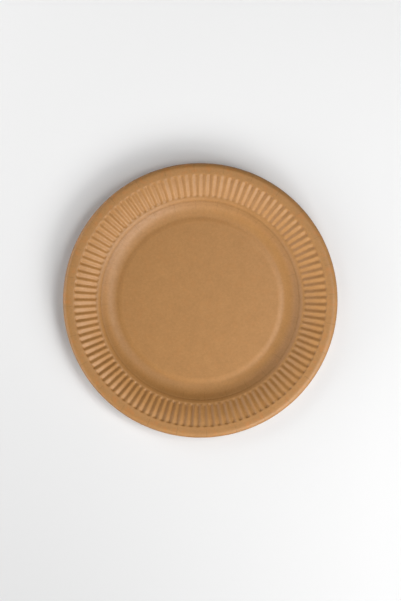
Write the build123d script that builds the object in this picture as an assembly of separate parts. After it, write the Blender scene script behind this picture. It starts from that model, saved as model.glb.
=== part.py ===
from build123d import *
from math import atan2, ceil, cos, degrees, radians, sin, tan
import os

# A fluted plate of brown kraft board, pressed from one round blank between two heated dies.
# Millimetres, +Z up, origin on the table under the middle of the plate. The plate is worked out
# as two skins, the eating side and the underside one board thickness below it, joined at the rim.

# The plate over all
PLATE_DIAMETER = 230.0
PLATE_HEIGHT = 17.0
BOARD = 0.42

# The flat middle, the step down round it and the flat ring that the plate stands on
PANEL_DIAMETER = 131.0
PANEL_LIFT = 0.65
STEP_WIDTH = 5.0
FOOT_WIDTH = 1.6

# The shallow heel outside the ring, the plain wall, and the score that runs round the wall
HEEL_WIDTH = 4.6
HEEL_ANGLE = 8.0
HEEL_BEND = 11.0
WALL_WIDTH = 10.0
WALL_HEIGHT = 7.8
SCORE_TO_WALL_TOP = 3.1
SCORE_WIDTH = 0.9
SCORE_DEPTH = 0.12

# The fluted band: closed grooves, deeper towards the rim, between lands that stay at the surface
FLUTE_COUNT = 108
FIRST_LAND_ANGLE = 0.5
FLUTE_DEPTH_INSIDE = 0.85
FLUTE_DEPTH_OUTSIDE = 1.4
FLUTE_END = 1.3
FLUTE_SPANS = 2
LAND_SHARE = 1 / 6
FLOOR_SHARE = 1 / 6
INNER_LEDGE = 0.25
OUTER_LEDGE = 0.3

# The smooth rim outside the flutes, and the lip that turns down to the cut edge
RIM_WIDTH = 6.0
RIM_ANGLE = 5.5
LIP_BEND = 4.2
LIP_ANGLE = 60.0
LIP_EDGE = 0.4

# A bend is a run of short cones, and this is the most that it turns from one to the next
BEND_STEP = 22.0

# Radii and heights of the eating side that follow from these sizes
panel_edge = PANEL_DIAMETER / 2
foot_start = panel_edge + STEP_WIDTH
foot_end = foot_start + FOOT_WIDTH
heel_end = foot_end + HEEL_WIDTH
heel_height = BOARD + HEEL_WIDTH * tan(radians(HEEL_ANGLE))
wall_top = heel_end + WALL_WIDTH
wall_angle = degrees(atan2(WALL_HEIGHT - heel_height, WALL_WIDTH))
score_height = WALL_HEIGHT - SCORE_TO_WALL_TOP * tan(radians(wall_angle))
lip_tangent = LIP_BEND * tan(radians(LIP_ANGLE + RIM_ANGLE) / 2)
lip_length = lip_tangent + LIP_EDGE
crown = PLATE_DIAMETER / 2 - lip_length * cos(radians(LIP_ANGLE))
crown_height = PLATE_HEIGHT + lip_tangent * sin(radians(RIM_ANGLE))
rim_start = crown - RIM_WIDTH
rim_height = crown_height - RIM_WIDTH * tan(radians(RIM_ANGLE))
flute_start = wall_top + INNER_LEDGE
flute_stop = rim_start - OUTER_LEDGE
pitch = 360 / FLUTE_COUNT


def slope(start, end):
    return degrees(atan2(end.Z - start.Z, end.X - start.X))


def mitred(point, before, after, down):
    """The corner `down` below a corner of the eating side, where the slope turns before to after."""
    middle = radians(before + after) / 2
    reach = down / cos(radians(after - before) / 2)
    return Vector(point.X + reach * sin(middle), 0, point.Z - reach * cos(middle))


def rounded(corner, before, after, radius):
    """Points along the bend that rounds a corner, close enough together for short cones."""
    side = 1 if after > before else -1
    tangent = radius * tan(radians(abs(after - before)) / 2)
    start = corner - Vector(cos(radians(before)), 0, sin(radians(before))) * tangent
    centre = mitred(start, before, before, -side * radius)
    steps = ceil(abs(after - before) / BEND_STEP)
    slopes = [before + (after - before) * i / steps for i in range(steps + 1)]
    return [mitred(centre, angle, angle, side * radius) for angle in slopes]


def bent_line(corners, bends):
    """The corners of a profile with every corner that has a bend radius rounded."""
    points = [corners[0]]
    for before, corner, after, bend in zip(corners, corners[1:], corners[2:], bends):
        turn = slope(before, corner), slope(corner, after)
        points += rounded(corner, *turn, bend) if bend else [corner]
    return points + [corners[-1]]


def lowered(points, first_slope, last_slope, down):
    """The same profile one board lower, measured square to each of its lines."""
    slopes = [first_slope] + [slope(a, b) for a, b in zip(points, points[1:])] + [last_slope]
    turns = zip(slopes, slopes[1:])
    return [mitred(point, *turn, down) for point, turn in zip(points, turns)]


def bowl_profile(down):
    """From the middle of the panel over the step, foot, heel and scored wall to the inner ledge."""
    score = Vector(wall_top - SCORE_TO_WALL_TOP, 0, score_height)
    along = Vector(cos(radians(wall_angle)), 0, sin(radians(wall_angle)))
    panel_height = BOARD + PANEL_LIFT
    corners = [
        Vector(0, 0, panel_height),
        Vector(panel_edge, 0, panel_height),
        Vector(foot_start, 0, BOARD),
        Vector(foot_end, 0, BOARD),
        Vector(heel_end, 0, heel_height),
        score - along * (SCORE_WIDTH / 2),
        mitred(score, wall_angle, wall_angle, SCORE_DEPTH),
        score + along * (SCORE_WIDTH / 2),
        Vector(wall_top, 0, WALL_HEIGHT),
    ]
    bends = [0, 0, 0, HEEL_BEND, 0, 0, 0]
    return lowered(bent_line(corners, bends), 0, 0, down)


def rim_profile(down):
    """From the outer ledge over the crown to the cut edge of the lip."""
    drop = lip_length * sin(radians(LIP_ANGLE))
    corners = [
        Vector(rim_start, 0, rim_height),
        Vector(crown, 0, crown_height),
        Vector(PLATE_DIAMETER / 2, 0, crown_height - drop),
    ]
    return lowered(bent_line(corners, [LIP_BEND]), 0, -LIP_ANGLE, down)


def brow():
    """The line of the lands across the fluted band, from the wall's slope to the rim's."""
    start = Vector(flute_start, 0, WALL_HEIGHT)
    end = Vector(flute_stop, 0, rim_height)
    third = (flute_stop - flute_start) / 3
    leave = start + Vector(third, 0, third * tan(radians(wall_angle)))
    arrive = end - Vector(third, 0, third * tan(radians(RIM_ANGLE)))
    return Bezier(start, leave, arrive, end)


def turned(point, angle):
    return point.rotate(Axis.Z, angle)


def band_ends(down):
    """Where the brow starts and stops: its corners with the two ledges."""
    line = brow()
    return (
        mitred(line @ 0, 0, wall_angle, down),
        mitred(line @ 1, RIM_ANGLE, 0, down),
    )


def flute_section(share, down):
    """The five corners of one pitch, from land to land, at a share of the way along the brow."""
    line = brow()
    point = line @ share
    tilt = degrees(atan2((line % share).Z, (line % share).X))
    depth = FLUTE_DEPTH_INSIDE + (FLUTE_DEPTH_OUTSIDE - FLUTE_DEPTH_INSIDE) * share
    land = mitred(point, tilt, tilt, down)
    floor = mitred(point, tilt, tilt, down + depth)
    flank_run = radians(pitch) * point.X * (1 - LAND_SHARE - FLOOR_SHARE) / 2
    fold = down * tan(atan2(depth, flank_run) / 2)
    half_land = pitch * LAND_SHARE / 2 - degrees(fold / point.X)
    half_floor = pitch * FLOOR_SHARE / 2 + degrees(fold / point.X)
    return [
        turned(land, -half_land),
        turned(land, half_land),
        turned(floor, pitch / 2 - half_floor),
        turned(floor, pitch / 2 + half_floor),
        turned(land, pitch - half_land),
    ]


def facet(*corners):
    return Face(Wire.make_polygon(corners, close=True))


def flute_end(tip, section):
    """The closed ends of the grooves over one pitch: the land runs out between two pointed tips."""
    left, right = turned(tip, -pitch / 2), turned(tip, pitch / 2)
    land_left, land_right, floor_left, floor_right, next_land = section
    return [
        facet(left, right, land_right, land_left),
        facet(right, land_right, floor_left),
        facet(right, floor_left, floor_right),
        facet(right, floor_right, next_land),
    ]


def flute(down):
    """One pitch of the fluted band: closed end, land, flank, floor and flank, closed end."""
    inner_tip, outer_tip = band_ends(down)
    end_share = FLUTE_END / (flute_stop - flute_start)
    full = 1 - 2 * end_share
    shares = [end_share + full * i / FLUTE_SPANS for i in range(FLUTE_SPANS + 1)]
    sections = [flute_section(share, down) for share in shares]
    faces = flute_end(inner_tip, sections[0]) + flute_end(outer_tip, sections[-1])
    for inner, outer in zip(sections, sections[1:]):
        for i in range(len(inner) - 1):
            faces.append(
                Face.make_surface_from_curves(
                    edge1=Edge.make_line(inner[i], inner[i + 1]),
                    edge2=Edge.make_line(outer[i], outer[i + 1]),
                )
            )
    return faces


def ledge(circle_radius, tip):
    """The narrow flat ring between a turned part and the straight-sided edge of the flutes."""
    corners = [turned(tip, FIRST_LAND_ANGLE + (i + 0.5) * pitch) for i in range(FLUTE_COUNT)]
    straight_sided = Wire.make_polygon(corners, close=True)
    round_edge = Wire.make_circle(circle_radius, Plane((0, 0, tip.Z)))
    if circle_radius < tip.X:
        return Face(straight_sided, [round_edge])
    return Face(round_edge, [straight_sided])


def turned_faces(points):
    """The faces that a profile sweeps when it is turned about the middle of the plate."""
    edges = [Edge.make_line(a, b) for a, b in zip(points, points[1:])]
    return [Face.revolve(edge, 360, Axis.Z) for edge in edges]


def skin(down):
    """All faces of the plate's surface `down` below the eating side."""
    bowl, rim = bowl_profile(down), rim_profile(down)
    inner_tip, outer_tip = band_ends(down)
    faces = turned_faces(bowl) + turned_faces(rim)
    faces += [ledge(bowl[-1].X, inner_tip), ledge(rim[0].X, outer_tip)]
    one_flute = flute(down)
    for i in range(FLUTE_COUNT):
        angle = FIRST_LAND_ANGLE + i * pitch
        faces += [face.rotate(Axis.Z, angle) for face in one_flute]
    return faces


def plate():
    """Both skins, closed by the cut edge of the board round the lip."""
    cut_edge = turned_faces([rim_profile(0)[-1], rim_profile(BOARD)[-1]])
    faces = skin(0) + skin(BOARD) + cut_edge
    return Solid(Shell(Face.sew_faces(faces)[0]))


os.makedirs("parts", exist_ok=True)
export_step(plate(), "parts/plate.step")
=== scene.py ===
import math
import bpy
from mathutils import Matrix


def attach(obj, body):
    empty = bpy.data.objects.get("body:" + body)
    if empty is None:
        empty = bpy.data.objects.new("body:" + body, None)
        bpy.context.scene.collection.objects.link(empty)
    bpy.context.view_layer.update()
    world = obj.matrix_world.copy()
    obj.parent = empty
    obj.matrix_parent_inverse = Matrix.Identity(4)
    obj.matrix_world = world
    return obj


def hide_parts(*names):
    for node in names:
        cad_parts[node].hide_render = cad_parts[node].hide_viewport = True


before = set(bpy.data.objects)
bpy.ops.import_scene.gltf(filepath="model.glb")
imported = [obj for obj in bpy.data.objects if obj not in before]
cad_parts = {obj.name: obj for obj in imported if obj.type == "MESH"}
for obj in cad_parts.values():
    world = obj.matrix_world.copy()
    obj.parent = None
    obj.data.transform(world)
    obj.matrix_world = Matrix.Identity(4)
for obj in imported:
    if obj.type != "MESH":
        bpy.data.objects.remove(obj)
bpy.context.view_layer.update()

# The plate: one round blank of brown kraft board, scored and then pressed between two heated dies.
# It is drawn as the die's outline, turned about the middle, and the flutes are pressed into the
# band between wall and rim. The board's thickness is added last, down from the eating side.
MM = 0.001
BOARD = 0.42 * MM


# Corners of the outline as (radius, height, rounding), in millimetres
WELL_CORNERS = [
    (0.0, 1.07, 0.0),
    (40.0, 1.07, 0.0),
    (66.5, 1.07, 1.3),
    (69.9, 0.42, 0.8),
    (71.5, 0.42, 0.7),
    (76.7, 1.066, 3.0),
    (79.8, 3.081, 0.0),
]
WALL_CORNERS = [
    (80.2, 3.341, 0.0),
    (82.8, 5.16, 0.4),
    (83.4, 5.35, 0.25),
    (83.9, 5.84, 0.25),
    (85.5, 7.15, 0.6),
    (86.7, 7.8, 0.0),
]
RIM_CORNERS = [
    (107.45, 16.68, 0.0),
    (108.6, 16.79, 0.0),
    (112.83, 17.15, 2.0),
    (115.0, 14.57, 0.0),
]
WELL_STEPS = 216
WALL_STEPS = 448
RIM_STEPS = 448
BEND_SEGMENTS = 4
SAME_PLACE = 1e-7
SEAM_GAP = 2e-6


def edit_mode():
    bpy.ops.object.mode_set(mode="EDIT")


def object_mode():
    bpy.ops.object.mode_set(mode="OBJECT")


def select_where(piece, chosen):
    """Selects the piece's vertices for which chosen(place) is true, and stays in edit mode."""
    edit_mode()
    bpy.ops.mesh.select_mode(type="VERT")
    bpy.ops.mesh.select_all(action="DESELECT")
    object_mode()
    for vertex in piece.data.vertices:
        vertex.select = chosen(vertex.co)
    edit_mode()


def drawn_outline(name, corners):
    """A line in the plane y = 0, drawn from corner to corner and then rounded at its corners."""
    bpy.ops.object.select_all(action="DESELECT")
    bpy.ops.mesh.primitive_plane_add(size=MM)
    outline = bpy.context.object
    outline.name = name
    edit_mode()
    bpy.ops.mesh.merge(type="CENTER")
    bpy.ops.transform.translate(value=(corners[0][0] * MM, 0, corners[0][1] * MM))
    for start, end in zip(corners, corners[1:]):
        move = ((end[0] - start[0]) * MM, 0, (end[1] - start[1]) * MM)
        bpy.ops.mesh.extrude_region_move(TRANSFORM_OT_translate={"value": move})
    for radius, height, rounding in corners:
        if rounding:
            corner = (radius * MM, 0, height * MM)
            select_where(outline, lambda place: math.dist(place, corner) < SAME_PLACE)
            bpy.ops.mesh.bevel(affect="VERTICES", offset=rounding * MM, segments=BEND_SEGMENTS)
    object_mode()
    return outline


def turned(outline, steps):
    """The outline turned once about the middle of the plate, with its seam closed."""
    bpy.ops.object.select_all(action="DESELECT")
    bpy.context.view_layer.objects.active = outline
    outline.select_set(True)
    edit_mode()
    bpy.ops.mesh.select_all(action="SELECT")
    bpy.ops.mesh.spin(steps=steps, angle=math.tau, center=(0, 0, 0), axis=(0, 0, 1))
    bpy.ops.mesh.select_all(action="SELECT")
    bpy.ops.mesh.remove_doubles(threshold=SEAM_GAP)
    bpy.ops.mesh.normals_make_consistent(inside=False)
    object_mode()
    if sum(polygon.normal.z for polygon in outline.data.polygons) < 0:
        outline.data.flip_normals()
    return outline


well = turned(drawn_outline("well", WELL_CORNERS), WELL_STEPS)
wall = turned(drawn_outline("wall", WALL_CORNERS), WALL_STEPS)
rim = turned(drawn_outline("rim", RIM_CORNERS), RIM_STEPS)

# The fluted band's outline bends over from the wall's slope to the rim's, finer at its two ends.
# Its start and stop are (radius, height), and each flute is ten columns of faces wide.
BAND_START = (86.95 * MM, 7.8 * MM)
BAND_STOP = (107.15 * MM, 16.68 * MM)
WALL_RISE = 0.6735
RIM_RISE = 0.0963
BAND_ROWS = 18
FINE_END = 2.4 * MM
FLUTES = 108
COLUMNS = 10
FIRST_LAND = math.radians(0.5)
PITCH = math.tau / FLUTES

bpy.ops.object.select_all(action="DESELECT")
bpy.ops.curve.primitive_bezier_curve_add()
band = bpy.context.object
band.name = "band"
reach = (BAND_STOP[0] - BAND_START[0]) / 3
points = band.data.splines[0].bezier_points
for point, (radius, height), rise in zip(points, (BAND_START, BAND_STOP), (WALL_RISE, RIM_RISE)):
    point.handle_left_type = point.handle_right_type = "FREE"
    point.co = (radius, 0, height)
    point.handle_left = (radius - reach, 0, height - reach * rise)
    point.handle_right = (radius + reach, 0, height + reach * rise)
band.data.resolution_u = BAND_ROWS
bpy.ops.object.convert(target="MESH")
select_where(
    band,
    lambda place: place.x < BAND_START[0] + FINE_END or place.x > BAND_STOP[0] - FINE_END,
)
bpy.ops.mesh.subdivide(number_cuts=1)
object_mode()
turned(band, FLUTES * COLUMNS)
edit_mode()
bpy.ops.mesh.select_all(action="SELECT")
bpy.ops.transform.rotate(value=-FIRST_LAND, orient_axis="Z", center_override=(0, 0, 0))
object_mode()

# Flutes: how far each place of the band is pressed down, as a share of the deepest flute. They
# are shallower at the wall, and beside the 28 creases that the blank was scored with.
DEEPEST = 1.5 * MM
INNER_SHARE = 0.68
INNER_RAMP = 0.9 * MM
OUTER_RAMP = 1.1 * MM
INNER_ROUNDING = 1.5 * MM
OUTER_ROUNDING = 0.9 * MM
OUTER_MARGIN = 0.85 * MM
INNER_STRAY = 0.25 * MM
OUTER_STRAY = 0.35 * MM
GROOVE_ROUNDING = 1.6
MARKS = 28
FIRST_MARK = math.radians(2.7)
SHALLOWER_AT_MARK = 0.16
USUAL_SHARE = 0.94
# The share of the flutes' painted highlight that their floors get
FLOOR_HIGHLIGHT = 0.6


def smooth(share):
    share = min(max(share, 0.0), 1.0)
    return share * share * (3 - 2 * share)


def evenness(number):
    """How deep one flute is beside the others: no two flutes of a pressed plate are quite alike."""
    from_mark = (number + 0.5) * PITCH + FIRST_LAND - FIRST_MARK
    spacing = math.tau / MARKS
    nearest = abs((from_mark / spacing + 0.5) % 1.0 - 0.5) * spacing
    beside_mark = SHALLOWER_AT_MARK * (1 - smooth(nearest / PITCH))
    uneven = 0.05 * math.sin(number * 2.399) + 0.03 * math.sin(number * 5.81)
    return USUAL_SHARE - beside_mark + uneven


def across_flute(place):
    """The flute's number, and how far a place lies from the land before it to the one after."""
    turn = (math.atan2(place.y, place.x) - FIRST_LAND) / PITCH
    number = math.floor(turn)
    return number % FLUTES, turn - number


def hollow(across):
    """The flute's section, from 0 on the broad land to 1 at the bottom of the narrower groove."""
    rise = math.hypot(math.cos(math.pi * across), GROOVE_ROUNDING) - GROOVE_ROUNDING
    return 1 - rise / (math.hypot(1.0, GROOVE_ROUNDING) - GROOVE_ROUNDING)


def within_ends(place):
    """1 along the flute and 0 past its rounded ends, which stray a little from the others'."""
    number, across = across_flute(place)
    radius = math.hypot(place.x, place.y)
    rounding = (2 * across - 1) ** 2
    inner_end = BAND_START[0] + INNER_STRAY * math.sin(number * 4.1) ** 2
    outer_end = BAND_STOP[0] - OUTER_MARGIN - OUTER_STRAY * math.sin(number * 3.3) ** 2
    inner = smooth((radius - inner_end - INNER_ROUNDING * rounding) / INNER_RAMP)
    outer = smooth((outer_end - radius - OUTER_ROUNDING * rounding) / OUTER_RAMP)
    return inner * outer


def pressed(place):
    """How far down a place of the band is pressed, as a share of the deepest flute."""
    number, across = across_flute(place)
    along = (math.hypot(place.x, place.y) - BAND_START[0]) / (BAND_STOP[0] - BAND_START[0])
    depth = INNER_SHARE + (1 - INNER_SHARE) * along
    return hollow(across) * within_ends(place) * depth * evenness(number)


def painted_highlight_at(place):
    """How much painted highlight a place of the flute gets: most on its land, less on its floor."""
    number, across = across_flute(place)
    below = hollow(across)
    return ((1 - below) ** 2 + FLOOR_HIGHLIGHT * below ** 2) * within_ends(place)


# The flutes' painted highlight, kept on the band for its material
painted_highlight = band.data.attributes.new("painted_highlight", "FLOAT", "POINT")
for vertex in band.data.vertices:
    painted_highlight.data[vertex.index].value = painted_highlight_at(vertex.co)
flutes = band.vertex_groups.new(name="flutes")
for vertex in band.data.vertices:
    flutes.add([vertex.index], pressed(vertex.co), "REPLACE")
press = band.modifiers.new("press", "DISPLACE")
press.vertex_group = "flutes"
press.direction = "NORMAL"
press.mid_level = 0.0
press.strength = -DEEPEST
bpy.ops.object.modifier_apply(modifier="press")
band.vertex_groups.clear()

# The four parts joined into one skin, with a ring of faces across each gap between two of them.
# The gaps are (from radius, to radius) in millimetres.
GAPS = [(79.7, 80.3), (86.69, 86.96), (107.14, 107.46)]
ON_RING = 1e-6
SHARP_BEND = math.radians(50)
bpy.ops.object.select_all(action="DESELECT")
for part in (well, wall, rim, band):
    part.select_set(True)
bpy.context.view_layer.objects.active = band
bpy.ops.object.join()
plate = band
plate.name = "plate_kraft"
plate.data.name = "plate_kraft"


def select_open_edges(piece, inner, outer):
    """Selects the edges between two radii that have a face on one side only."""
    faces_at = {}
    for polygon in piece.data.polygons:
        for key in polygon.edge_keys:
            faces_at[key] = faces_at.get(key, 0) + 1
    low, high = inner * MM - ON_RING, outer * MM + ON_RING
    for edge in piece.data.edges:
        ends = [piece.data.vertices[i].co for i in edge.vertices]
        on_ring = all(low < math.hypot(end.x, end.y) < high for end in ends)
        edge.select = on_ring and faces_at[tuple(sorted(edge.vertices))] == 1


for inner, outer in GAPS:
    edit_mode()
    bpy.ops.mesh.select_mode(type="EDGE")
    bpy.ops.mesh.select_all(action="DESELECT")
    object_mode()
    select_open_edges(plate, inner, outer)
    edit_mode()
    bpy.ops.mesh.bridge_edge_loops()
    object_mode()

edit_mode()
bpy.ops.mesh.select_mode(type="VERT")
bpy.ops.mesh.select_all(action="SELECT")
bpy.ops.mesh.remove_doubles(threshold=ON_RING)
object_mode()

thickness = plate.modifiers.new("board", "SOLIDIFY")
thickness.thickness = BOARD
thickness.offset = -1
thickness.use_even_offset = True
bpy.ops.object.modifier_apply(modifier="board")
bpy.ops.object.shade_smooth_by_angle(angle=SHARP_BEND)

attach(plate, "root")
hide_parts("plate")

# Its finish: uncoated kraft board, brown from unbleached fibres. Long fibres lie in all directions,
# a few of them paler or darker, and the sheet is a little cloudy. Shade and highlight are painted
# into some places.
DEEP_BROWN = (0.321, 0.152, 0.043, 1)
PALE_BROWN = (0.558, 0.279, 0.0925, 1)
RUST = (0.5, 0.2, 0.05, 1)
ROUGHEST, SMOOTHEST = 0.52, 0.41
RELIEF_STRENGTH = 0.6
RELIEF_DEPTH = 0.05 * MM
kraft = bpy.data.materials.new("kraft_board")
kraft.use_nodes = True
nodes, links = kraft.node_tree.nodes, kraft.node_tree.links
board_finish = nodes["Principled BSDF"]
board_finish.inputs["Specular IOR Level"].default_value = 0.5
place = nodes.new("ShaderNodeTexCoord").outputs["Object"]


def joined(kind, outputs, inputs, **settings):
    """A new node with its settings, its inputs linked or set by name or number."""
    made = nodes.new(kind)
    for name, value in settings.items():
        setattr(made, name, value)
    for name, value in inputs.items():
        if isinstance(value, bpy.types.NodeSocket):
            links.new(value, made.inputs[name])
        else:
            made.inputs[name].default_value = value
    return made.outputs[outputs]


def maths(operation, first, second=0.0):
    return joined("ShaderNodeMath", 0, {0: first, 1: second}, operation=operation)


def spread(value, low, high, to_low, to_high):
    """The value carried from one range to another, softly and held at both ends."""
    inputs = {
        "Value": value,
        "From Min": low,
        "From Max": high,
        "To Min": to_low,
        "To Max": to_high,
    }
    return joined("ShaderNodeMapRange", "Result", inputs, interpolation_type="SMOOTHSTEP")


def ring(middle, inside, outside):
    """1 on a ring about the plate's middle, softly 0 from one distance off it to another."""
    off_ring = maths("ABSOLUTE", maths("SUBTRACT", from_middle, middle))
    return spread(off_ring, inside, outside, 1.0, 0.0)


def with_more(shade, share, of):
    return maths("ADD", shade, maths("MULTIPLY", of, share))


def with_less(shade, share, of):
    return maths("SUBTRACT", shade, maths("MULTIPLY", of, share))


def grain(scale, detail, roughness=0.5, at=place):
    inputs = {"Vector": at, "Scale": scale, "Detail": detail, "Roughness": roughness}
    return joined("ShaderNodeTexNoise", "Fac", inputs)


def fibres(direction, shift):
    """Streaks of fibre about a quarter of a millimetre wide that lie in one direction."""
    bent = joined("ShaderNodeVectorMath", "Vector", {0: place, 1: wander}, operation="ADD")
    along = joined(
        "ShaderNodeMapping",
        "Vector",
        {
            "Vector": bent,
            "Location": (shift, shift, shift),
            "Rotation": (0, 0, math.radians(direction)),
            "Scale": (260, 2600, 900),
        },
    )
    return grain(1.0, 2.0, 0.55, at=along)


WANDER = 1.6 * MM
bends = joined("ShaderNodeTexNoise", "Color", {"Vector": place, "Scale": 240.0, "Detail": 1.0})
wander = joined(
    "ShaderNodeVectorMath", "Vector", {0: bends, 1: (WANDER, WANDER, WANDER)}, operation="MULTIPLY"
)
strands = [fibres(8, 3.1), fibres(52, 7.7), fibres(97, 1.9), fibres(141, 5.3)]
web = strands[0]
for strand in strands[1:]:
    web = maths("MAXIMUM", web, strand)
pale_fibres = spread(web, 0.62, 0.8, 0.0, 1.0)
dark_fibres = spread(fibres(29, 9.4), 0.66, 0.8, 0.0, 1.0)
clouds = grain(75.0, 3.0)
mottling = grain(520.0, 4.0, 0.6)

apart = joined("ShaderNodeSeparateXYZ", 0, {0: place}).node.outputs
squares = [maths("POWER", apart[0], 2.0), maths("POWER", apart[1], 2.0)]
from_middle = maths("SQRT", maths("ADD", *squares))

# Shade runs from the deep brown at 0 to the pale brown at PALE_AT
PALE_AT = 0.7
shade = maths("ADD", maths("MULTIPLY", clouds, 0.22), maths("MULTIPLY", mottling, 0.42))
shade = with_more(shade, 0.22, of=pale_fibres)
shade = with_less(shade, 0.2, of=dark_fibres)

# Painted shade and highlight: the score, the foot of the wall, the rim and its cut edge are painted
# a little darker as shade, and the panel's edge and the lands and floors of the flutes are painted
# paler as highlight
score_shade = ring(83.5 * MM, 0.2 * MM, 1.3 * MM)
panel_edge_highlight = ring(67.2 * MM, 0.8 * MM, 2.6 * MM)
wall_foot_shade = ring(81.9 * MM, 0.5 * MM, 3.4 * MM)
cut_edge_shade = spread(from_middle, 113.9 * MM, 114.6 * MM, 0.0, 1.0)
rim_shade = spread(from_middle, 107.0 * MM, 109.0 * MM, 0.0, 1.0)
painted_highlight_here = joined("ShaderNodeAttribute", "Fac", {}, attribute_name="painted_highlight")
shade = with_less(shade, 0.13, of=score_shade)
shade = with_more(shade, 0.07, of=panel_edge_highlight)
shade = with_less(shade, 0.12, of=wall_foot_shade)
shade = with_less(shade, 0.3, of=cut_edge_shade)
shade = with_less(shade, 0.045, of=rim_shade)

# Fine radial creases, evenly spaced, cross the wall and the rim where the blank was scored
from_first = maths("SUBTRACT", maths("ARCTAN2", apart[1], apart[0]), FIRST_MARK)
turn = maths("MULTIPLY", from_first, MARKS / math.tau)
off_turn = maths("ABSOLUTE", maths("SUBTRACT", maths("FRACT", maths("ADD", turn, 0.5)), 0.5))
off_mark = maths("MULTIPLY", maths("MULTIPLY", off_turn, math.tau / MARKS), from_middle)
mark = spread(off_mark, 0.1 * MM, 0.42 * MM, 1.0, 0.0)
marked_rim = spread(from_middle, 107.4 * MM, 108.2 * MM, 0.0, 1.0)
marked_wall = maths(
    "MULTIPLY",
    spread(from_middle, 76.2 * MM, 77.6 * MM, 0.0, 1.0),
    spread(from_middle, 83.6 * MM, 84.8 * MM, 1.0, 0.0),
)
mark = maths("MULTIPLY", mark, with_more(marked_rim, 0.6, of=marked_wall))
shade = with_less(shade, 0.24, of=mark)
# Painted highlight on the lands and floors of the flutes, with their flanks left darker
shade = with_more(shade, 0.18, of=painted_highlight_here)
ramp = nodes.new("ShaderNodeValToRGB")
links.new(shade, ramp.inputs["Fac"])
ramp.color_ramp.elements[0].position = 0.0
ramp.color_ramp.elements[0].color = DEEP_BROWN
ramp.color_ramp.elements[1].position = PALE_AT
ramp.color_ramp.elements[1].color = PALE_BROWN

# Faint rusty patches, most of all on the rim
patches = spread(grain(190.0, 3.0), 0.5, 0.68, 0.0, 1.0)
rust_here = spread(from_middle, 106.0 * MM, 109.0 * MM, 0.12, 0.6)
stained = joined(
    "ShaderNodeMix",
    2,
    {"Factor": maths("MULTIPLY", patches, rust_here), 6: ramp.outputs["Color"], 7: RUST},
    data_type="RGBA",
)
links.new(stained, board_finish.inputs["Base Color"])
roughness = spread(mottling, 0.3, 0.7, ROUGHEST, SMOOTHEST)
links.new(roughness, board_finish.inputs["Roughness"])

# Relief: the fibres and the mottling stand up a little, and the creases go down
relief = maths("ADD", maths("MULTIPLY", pale_fibres, 0.5), maths("MULTIPLY", mottling, 0.8))
relief = with_more(relief, 0.6, of=web)
relief = with_less(relief, 1.6, of=mark)
bump = joined(
    "ShaderNodeBump",
    "Normal",
    {"Height": relief, "Strength": RELIEF_STRENGTH, "Distance": RELIEF_DEPTH},
)
links.new(bump, board_finish.inputs["Normal"])
plate.data.materials.clear()
plate.data.materials.append(kraft)

# The floor: a plain pale studio table. Its paint is a little deeper towards the lamps, so that it
# looks even, and it keeps the plate's shadow. Far off, it shows the camera an even pale background.
FLOOR_LEVEL = 0.885
DEEPER_TOWARDS = math.radians(-78)
DEEPER_BY = 0.42
BACKGROUND_LEVEL = 0.87
BACKGROUND_FROM, BACKGROUND_FULL = 0.36, 0.9
BELOW_PLATE = 0.05 * MM
bpy.ops.object.select_all(action="DESELECT")
bpy.ops.mesh.primitive_plane_add(size=8, location=(0, 0, -BELOW_PLATE))
floor = bpy.context.object
floor.name = "floor"
floor_paint = bpy.data.materials.new("floor_paint")
floor_paint.use_nodes = True
nodes, links = floor_paint.node_tree.nodes, floor_paint.node_tree.links
paint = nodes["Principled BSDF"]
paint.inputs["Roughness"].default_value = 0.9
floor_place = nodes.new("ShaderNodeTexCoord").outputs["Object"]
lamp_side = (math.cos(DEEPER_TOWARDS), math.sin(DEEPER_TOWARDS), 0)
towards = joined(
    "ShaderNodeVectorMath", "Value", {0: floor_place, 1: lamp_side}, operation="DOT_PRODUCT"
)
falloff = maths("POWER", maths("ADD", 1.0, maths("MULTIPLY", towards, -DEEPER_BY)), 2.0)
level = maths("MULTIPLY", falloff, FLOOR_LEVEL)
tone = joined("ShaderNodeCombineColor", "Color", {"Red": level, "Green": level, "Blue": level})
links.new(tone, paint.inputs["Base Color"])
distance = joined("ShaderNodeVectorMath", "Value", {0: floor_place}, operation="LENGTH")
far_off = spread(distance, BACKGROUND_FROM, BACKGROUND_FULL, 0.0, 1.0)
seen = joined("ShaderNodeLightPath", "Is Camera Ray", {})
pale = (BACKGROUND_LEVEL, BACKGROUND_LEVEL, BACKGROUND_LEVEL, 1)
background = joined("ShaderNodeEmission", 0, {"Color": pale, "Strength": 1.0})
shown = joined(
    "ShaderNodeMixShader",
    0,
    {0: maths("MULTIPLY", far_off, seen), 1: paint.outputs[0], 2: background},
)
links.new(shown, nodes["Material Output"].inputs["Surface"])
floor.data.materials.append(floor_paint)

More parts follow.
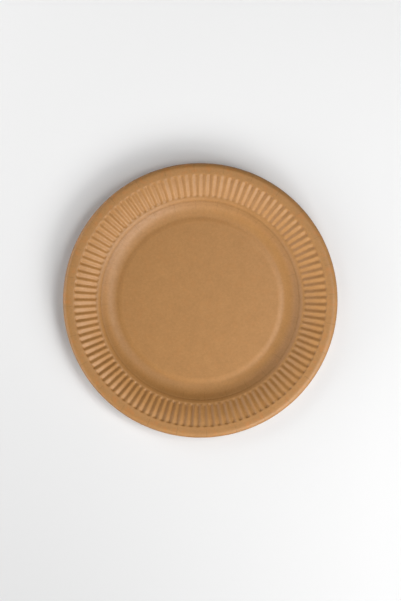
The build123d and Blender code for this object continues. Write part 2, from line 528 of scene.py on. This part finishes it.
# Light: soft round lamps about the plate, all as far away and as wide, as (azimuth, height angle,
# level). The main ones stand at the lower right, and weak low ones on the left open the far side.
LAMP_DISTANCE = 1.0
LAMP_WIDTH = 0.45
LAMPS = [
    (300, 30, 0.48),
    (330, 30, 0.32),
    (330, 48, 0.17),
    (0, 66, 0.28),
    (255, 30, 0.12),
    (180, 30, 0.08),
    (135, 48, 0.10),
    (150, 12, 0.17),
    (180, 12, 0.16),
    (210, 12, 0.21),
]
for azimuth, elevation, level in LAMPS:
    flat = LAMP_DISTANCE * math.cos(math.radians(elevation))
    x = flat * math.cos(math.radians(azimuth))
    y = flat * math.sin(math.radians(azimuth))
    z = LAMP_DISTANCE * math.sin(math.radians(elevation))
    bpy.ops.object.light_add(type="AREA", location=(x, y, z))
    lamp = bpy.context.object
    lamp.data.shape = "DISK"
    lamp.data.size = LAMP_WIDTH
    lamp.data.energy = level * (math.pi * LAMP_DISTANCE) ** 2
    lamp.rotation_mode = "QUATERNION"
    lamp.rotation_quaternion = lamp.location.to_track_quat("Z", "Y")

# The world lights nothing and shows the camera the same pale background as the floor
world = bpy.data.worlds.new("studio")
bpy.context.scene.world = world
world.use_nodes = True
world.node_tree.nodes["Background"].inputs["Color"].default_value = (1, 1, 1, 1)
nodes, links = world.node_tree.nodes, world.node_tree.links
seen = joined("ShaderNodeLightPath", "Is Camera Ray", {})
links.new(maths("MULTIPLY", seen, BACKGROUND_LEVEL), nodes["Background"].inputs["Strength"])

# Camera: straight above the plate, far enough away that the rim hides nothing. A pixel of the
# picture, 601 of them high, is PIXEL wide at the height of the lip's edge.
CAMERA_HEIGHT = 2.4
RIM_EDGE_HEIGHT = 14.6 * MM
PIXEL = 0.8376 * MM
PICTURE_HEIGHT = 601
bpy.ops.object.camera_add(location=(0.22 * PIXEL, -0.11 * PIXEL, CAMERA_HEIGHT))
camera = bpy.context.object
camera.name = "camera"
picture_size = PICTURE_HEIGHT * PIXEL
camera.data.lens = camera.data.sensor_width * (CAMERA_HEIGHT - RIM_EDGE_HEIGHT) / picture_size
camera.data.clip_end = 20
bpy.context.scene.camera = camera
bpy.context.scene.view_settings.view_transform = "Standard"
